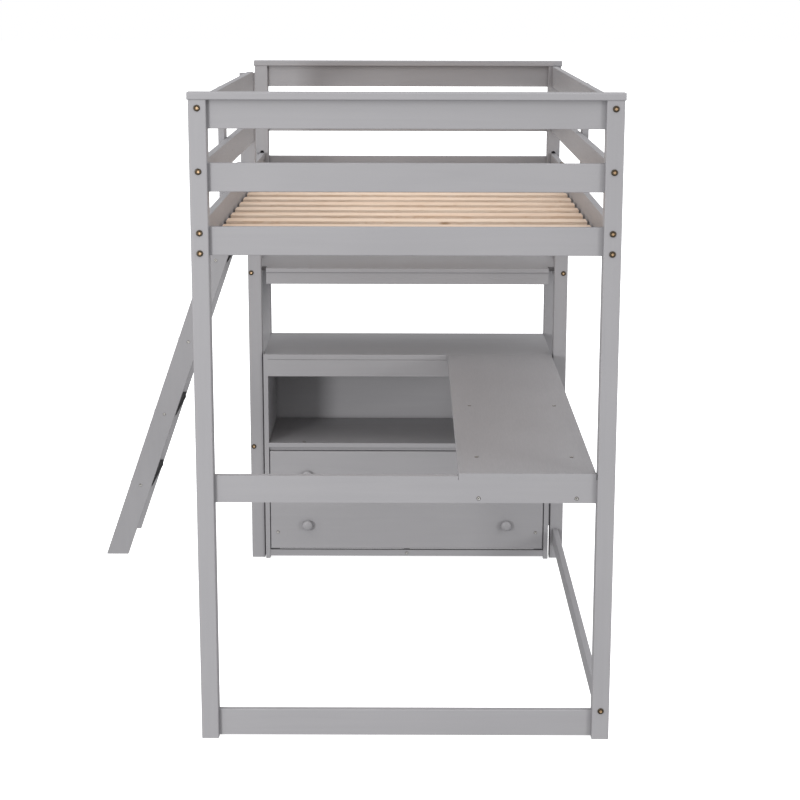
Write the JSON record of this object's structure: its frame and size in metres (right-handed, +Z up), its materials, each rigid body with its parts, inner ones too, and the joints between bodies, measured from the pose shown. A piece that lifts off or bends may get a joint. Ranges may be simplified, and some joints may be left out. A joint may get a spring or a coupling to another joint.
{
  "type": "loft bed with desk",
  "caption": "High single bed frame of square posts and rails with guard rails, leaning ladder, narrow desk board, open shelf and drawer cabinet underneath.",
  "frame": {"origin": "on the floor, at the bottom centre of the overall box, leaning ladder included; the middle of the four corner posts is 0.24865 m toward +X from it", "axes": "+X across the bed toward the desk side, away from the ladder; +Y along the bed toward the cabinet end; +Z up"},
  "size_m": [1.5648, 1.993, 1.659],
  "materials": {
    "grey_paint": "satin grey paint",
    "bare_pine": "planed, unpainted",
    "yellow_zinc": "yellow zinc plated",
    "steel": "zinc plated",
    "black_grip": "matt gritty"
  },
  "bodies": {
    "bed_frame": {"barrel_nuts": "steel", "bed_slats": "bare_pine", "cabinet_apron": "grey_paint", "cabinet_back_panel": "grey_paint", "cabinet_cross_rails": "grey_paint", "cabinet_end_panels": "grey_paint", "cabinet_side_rails": "grey_paint", "cabinet_top_board": "grey_paint", "cubby_shelf": "grey_paint", "desk_beams": "grey_paint", "desk_board": "grey_paint", "drawer_runners": "grey_paint", "end_caps": "grey_paint", "far_bed_end_rail": "grey_paint", "far_left_post": "grey_paint", "far_lower_rails": "grey_paint", "far_right_post": "grey_paint", "far_second_rail": "grey_paint", "far_top_rail": "grey_paint", "frame_bolts": "yellow_zinc", "ladder_far_stringer": "grey_paint", "ladder_gate_post": "grey_paint", "ladder_near_stringer": "grey_paint", "ladder_treads": "grey_paint", "left_bed_side_rail": "grey_paint", "left_guard_stile": "grey_paint", "left_second_guard": "grey_paint", "left_top_guard": "grey_paint", "low_back_rail": "grey_paint", "mid_left_post": "grey_paint", "mid_right_post": "grey_paint", "near_bed_end_rail": "grey_paint", "near_desk_rail": "grey_paint", "near_foot_rail": "grey_paint", "near_left_post": "grey_paint", "near_right_post": "grey_paint", "near_second_rail": "grey_paint", "near_top_rail": "grey_paint", "open_shelf_apron": "grey_paint", "open_shelf_board": "grey_paint", "open_shelf_cleats": "grey_paint", "right_bed_side_rail": "grey_paint", "right_guard_stile": "grey_paint", "right_second_guard": "grey_paint", "right_top_guard": "grey_paint", "slat_ledgers": "grey_paint", "tread_grip_strips": "black_grip", "wood_screws": "steel"},
    "upper_drawer": {"upper_drawer_back": "grey_paint", "upper_drawer_floor": "grey_paint", "upper_drawer_front": "grey_paint", "upper_drawer_knobs": "grey_paint", "upper_drawer_screws": "steel", "upper_drawer_sides": "grey_paint"},
    "lower_drawer": {"lower_drawer_back": "grey_paint", "lower_drawer_floor": "grey_paint", "lower_drawer_front": "grey_paint", "lower_drawer_knobs": "grey_paint", "lower_drawer_screws": "steel", "lower_drawer_sides": "grey_paint"}
  },
  "joints": [
    {"name": "upper_drawer_slide", "type": "slide", "parent": "bed_frame", "child": "upper_drawer", "axis": [0, -1, 0], "range_m": [0, 0.3]},
    {"name": "lower_drawer_slide", "type": "slide", "parent": "bed_frame", "child": "lower_drawer", "axis": [0, -1, 0], "range_m": [0, 0.3]}
  ]
}
